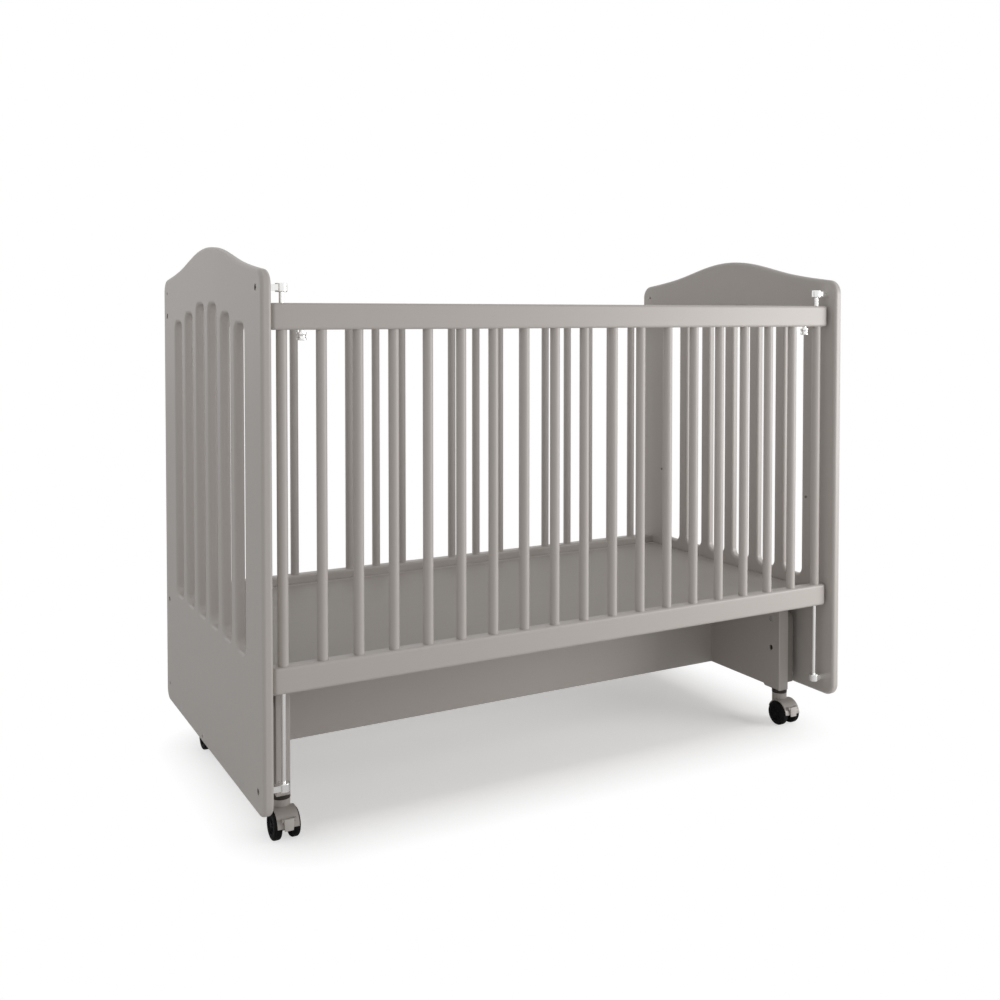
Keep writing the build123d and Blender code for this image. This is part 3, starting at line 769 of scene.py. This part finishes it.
@dataclass
class Pedals:
    """The four brake pedals: a pad that narrows downwards, on a round hinge pin, in millimetres."""

    layout: CasterLayout
    face: float = 31.2
    top: float = 18.1
    bottom: float = -2.0
    hug_radius: float = 28.4
    top_half_width: float = 9.0
    bottom_half_width: float = 7.6
    edge_round: float = 0.8
    edge_round_steps: int = 3
    edge_deg: float = 40.0
    arc_steps: int = 10
    hinge_radius: float = 31.0
    hinge_deg: float = 150.0
    pin_radius: float = 1.2
    pin_half_length: float = 12.3
    pin_chamfer: float = 0.3
    pin_segments: int = 20

    def hinge(self) -> tuple[float, float]:
        """Give the hinge's Y and Z from the axle."""
        angle = math.radians(self.hinge_deg)
        return self.hinge_radius * math.cos(angle), self.hinge_radius * math.sin(angle)

    def pin(self) -> bpy.types.Mesh:
        """Turn the hinge pin.

        Returns:
            The pin in its place about the axle.
        """
        end, radius, chamfer = self.pin_half_length, self.pin_radius, self.pin_chamfer
        mesh = turned("pin", [(-end, 0), (-end, radius - chamfer), (-end + chamfer, radius),
                              (end - chamfer, radius), (end, radius - chamfer), (end, 0)],
                      self.pin_segments)
        place = Matrix.Translation((0, *self.hinge()))
        mesh.transform(place @ Matrix.Rotation(math.pi / 2, 4, "Y"))
        return mesh

    def outline(self) -> list[tuple[float, float]]:
        """Draw the pad from the side.

        Returns:
            Y and Z of each corner from the axle.
        """
        hinge_y, _ = self.hinge()
        start = math.asin(self.bottom / self.hug_radius)
        finish = math.acos(-hinge_y / self.hug_radius)
        points = [(-self.face, self.top), (-self.face, self.top / 2), (-self.face, self.bottom)]
        for step in range(self.arc_steps + 1):
            angle = start + (finish - start) * step / self.arc_steps
            points.append((-self.hug_radius * math.cos(angle), self.hug_radius * math.sin(angle)))
        points.append((hinge_y, self.top))
        return points

    def pad(self) -> bpy.types.Mesh:
        """Shape the pad and its pin.

        Returns:
            Both as one mesh about the axle.
        """
        points = self.outline()
        solid = bmesh.new()
        widening = self.top_half_width - self.bottom_half_width
        sides = []
        for side in SIDES:
            row = []
            for y, z in points:
                share = (z - self.bottom) / (self.top - self.bottom)
                width = self.bottom_half_width + widening * share
                row.append(solid.verts.new((side * width, y, z)))
            sides.append(row)
        left, right = sides
        solid.faces.new(left)
        solid.faces.new(right[::-1])
        for step, corner in enumerate(left):
            following = (step + 1) % len(points)
            solid.faces.new((corner, right[step], right[following], left[following]))
        bmesh.ops.recalc_face_normals(solid, faces=solid.faces[:])
        crease = math.radians(self.edge_deg)
        sharp = [edge for edge in solid.edges if edge.calc_face_angle(0.0) > crease]
        bmesh.ops.bevel(solid, geom=sharp, offset=self.edge_round, segments=self.edge_round_steps,
                        profile=0.5, affect="EDGES", clamp_overlap=True)
        solid.from_mesh(self.pin())
        mesh = bpy.data.meshes.new("pad")
        solid.to_mesh(mesh)
        solid.free()
        smooth(mesh)
        return mesh

    def build(self, finishes: Finishes) -> None:
        """Hang a pedal on each caster.

        Args:
            finishes: The crib's finishes.
        """
        pad = self.pad()
        pad.materials.append(finishes.pedal_plastic)
        for corner, sx, sy in CORNERS:
            mesh = pad.copy()
            mesh.transform(Matrix.Translation(self.layout.axle(sx, sy)) @ Matrix.Scale(MM, 4))
            piece = piece_from(f"brake_pad_{corner}", mesh)
            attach(piece, f"brake_{corner}")
            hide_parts(f"brake_pedal_{corner}")
        LOG.info("made four brake pedals")


class Body:
    """Finishes of the crib body and its drop side."""

    def dress(self, finishes: Finishes) -> None:
        """Dress every CAD node of the crib body and its drop side.

        Args:
            finishes: The crib's finishes.
        """
        for end in ENDS:
            finishes.dress(f"end_panel_{end}", finishes.panel_paint)
            # Painted shade: the cleats take the darker copy of the crib's paint.
            finishes.dress(f"mattress_cleat_{end}", finishes.shaded_base_paint)
            finishes.dress(f"guide_rod_{end}", finishes.bright_steel)
            finishes.dress(f"catch_button_{end}", finishes.bright_steel)
        for rail in ("back_top_rail", "back_bottom_rail", "drop_top_rail", "drop_bottom_rail"):
            finishes.dress(rail, finishes.rail_paint)
        for row in ("back_dowels", "drop_dowels", "drop_end_tubes"):
            finishes.dress(row, finishes.panel_paint)
        # Painted shade: the board's darker copy of the crib's paint.
        finishes.dress("mattress_board", finishes.shaded_board_paint)
        for side in ("front", "back"):
            finishes.dress(f"mattress_batten_{side}", finishes.rail_paint)
        for level in ("upper", "lower"):
            finishes.dress(f"rod_brackets_{level}", finishes.cast_steel)
        finishes.dress("barrel_nuts", finishes.zinc_steel)
        finishes.dress("rod_bushes", finishes.bush_plastic)
        finishes.dress("catch_sleeves", finishes.bush_plastic)


class Base:
    """Finishes of the rocking base and its casters."""

    def dress(self, finishes: Finishes) -> None:
        """Dress every CAD node of the base.

        Args:
            finishes: The crib's finishes.
        """
        for end in ENDS:
            # Painted shade: the base takes the darker copy of the crib's paint.
            finishes.dress(f"base_end_{end}", finishes.shaded_base_paint)
        finishes.dress("base_stretcher", finishes.shaded_base_paint)
        finishes.dress("swing_blocks", finishes.block_paint)
        for level in ("upper", "lower"):
            finishes.dress(f"{level}_pivots", finishes.zinc_steel)
        # Painted shade: near-black sockets for the shadowed gap above each hood.
        finishes.dress("caster_sockets", finishes.socket_shade_plastic)
        for corner, _, _ in CORNERS:
            finishes.dress(f"swing_link_{corner}", finishes.zinc_steel)
            finishes.dress(f"caster_hood_{corner}", finishes.hood_plastic)
            finishes.dress(f"caster_pins_{corner}", finishes.zinc_steel)


@dataclass
class Studio:
    """White floor, soft light from the front right and a camera at the photograph's place."""

    camera_place: Point = (-1.156, -2.082, 0.8838)
    camera_turn_deg: float = -28.86
    camera_tilt_deg: float = 88.37
    lens: float = 40.82
    sensor_width: float = 36.0
    shift_y: float = -0.152
    key_place: Point = (2.05, -1.75, 0.72)
    key_aim: Point = (0.35, 0.0, 0.45)
    key_size: float = 1.1
    key_power: float = 29.0
    fill_level: float = 0.54
    floor_tint: Rgb = (243, 242, 241)
    floor_roughness: float = 0.8
    floor_shine: float = 0.1
    floor_half: float = 14.0
    floor_lift: float = 0.31
    footprint: tuple[float, float] = (0.50, 0.21)
    clear_from: float = 0.0
    clear_to: float = 0.17

    def world(self) -> None:
        """Make a soft even sky that shows white."""
        world = bpy.data.worlds.new("studio")
        bpy.context.scene.world = world
        world.use_nodes = True
        sheet = NodeSheet(world.node_tree)
        rays = sheet.add("ShaderNodeLightPath", {}, {}).outputs
        camera, glossy, transmission = (
            Wire(sheet, rays[f"Is {kind} Ray"]) for kind in ("Camera", "Glossy", "Transmission"))
        shown = (camera + glossy + transmission).at_most_one()
        soft = sheet.node("ShaderNodeBackground", {}, {"Color": WHITE, "Strength": self.fill_level})
        white = sheet.node("ShaderNodeBackground", {}, {"Color": WHITE, "Strength": 1.0})
        mixed = sheet.node("ShaderNodeMixShader", {}, {0: shown, 1: soft, 2: white})
        sheet.add("ShaderNodeOutputWorld", {}, {"Surface": mixed})

    def floor_paint(self) -> bpy.types.Material:
        """Make the floor's material, which clears to white away from the crib.

        Returns:
            The material.
        """
        material = bpy.data.materials.new("floor_white")
        material.use_nodes = True
        sheet = NodeSheet(material.node_tree)
        place = sheet.node("ShaderNodeTexCoord", {}, {}, "Object")
        size = sheet.node("ShaderNodeVectorMath", {"operation": "ABSOLUTE"}, {0: place}, "Vector")
        beyond = sheet.node("ShaderNodeVectorMath", {"operation": "SUBTRACT"},
                            {0: size, 1: (*self.footprint, 0.0)})
        outside = sheet.node("ShaderNodeVectorMath", {"operation": "MAXIMUM"},
                             {0: beyond, 1: (0.0, 0.0, 0.0)})
        gap = sheet.node("ShaderNodeVectorMath", {"operation": "LENGTH"}, {0: outside}, "Value")
        away = ((gap - self.clear_from) * (1.0 / (self.clear_to - self.clear_from))).at_most_one()
        camera = sheet.node("ShaderNodeLightPath", {}, {}, "Is Camera Ray")
        matt = sheet.node("ShaderNodeBsdfPrincipled", {}, {
            "Base Color": linear(self.floor_tint) + (1.0,), "Roughness": self.floor_roughness,
            "Specular IOR Level": self.floor_shine})
        lift = sheet.node("ShaderNodeEmission", {},
                          {"Color": WHITE, "Strength": camera * self.floor_lift})
        near = sheet.node("ShaderNodeAddShader", {}, {0: matt, 1: lift})
        white = sheet.node("ShaderNodeEmission", {}, {"Color": WHITE, "Strength": 1.0})
        mixed = sheet.node("ShaderNodeMixShader", {}, {0: away * camera, 1: near, 2: white})
        sheet.add("ShaderNodeOutputMaterial", {}, {"Surface": mixed})
        return material

    def floor(self) -> None:
        """Lay the floor."""
        half = self.floor_half
        mesh = bpy.data.meshes.new("floor")
        mesh.from_pydata([(-half, -half, 0), (half, -half, 0), (half, half, 0), (-half, half, 0)],
                         [], [(0, 1, 2, 3)])
        mesh.materials.append(self.floor_paint())
        piece_from("floor", mesh)

    def light(self) -> None:
        """Hang the soft lamp."""
        lamp = bpy.data.lights.new("key", "AREA")
        lamp.shape = "SQUARE"
        lamp.size = self.key_size
        lamp.energy = self.key_power
        holder = bpy.data.objects.new("key", lamp)
        holder.location = self.key_place
        aim = Vector(self.key_aim) - Vector(self.key_place)
        holder.rotation_euler = aim.to_track_quat("-Z", "Y").to_euler()
        bpy.context.scene.collection.objects.link(holder)

    def camera(self) -> None:
        """Set up the camera of the photograph."""
        eye = bpy.data.cameras.new("photo")
        eye.lens = self.lens
        eye.sensor_width = self.sensor_width
        eye.shift_y = self.shift_y
        holder = bpy.data.objects.new("photo", eye)
        holder.location = self.camera_place
        holder.rotation_euler = Euler((math.radians(self.camera_tilt_deg), 0,
                                       math.radians(self.camera_turn_deg)))
        bpy.context.scene.collection.objects.link(holder)
        bpy.context.scene.camera = holder

    def build(self) -> None:
        """Set the whole studio up."""
        self.world()
        self.floor()
        self.light()
        self.camera()
        bpy.context.scene.view_settings.view_transform = "Standard"
        LOG.info("studio is ready")


def main() -> None:
    """Build and dress the crib, then the studio."""
    logging.basicConfig(level=logging.INFO, format="%(message)s")
    finishes = Finishes()
    layout = CasterLayout()
    Body().dress(finishes)
    Base().dress(finishes)
    Fasteners().build(finishes)
    Wheels(layout).build(finishes)
    Pedals(layout).build(finishes)
    Studio().build()


if __name__ == "__main__":
    main()
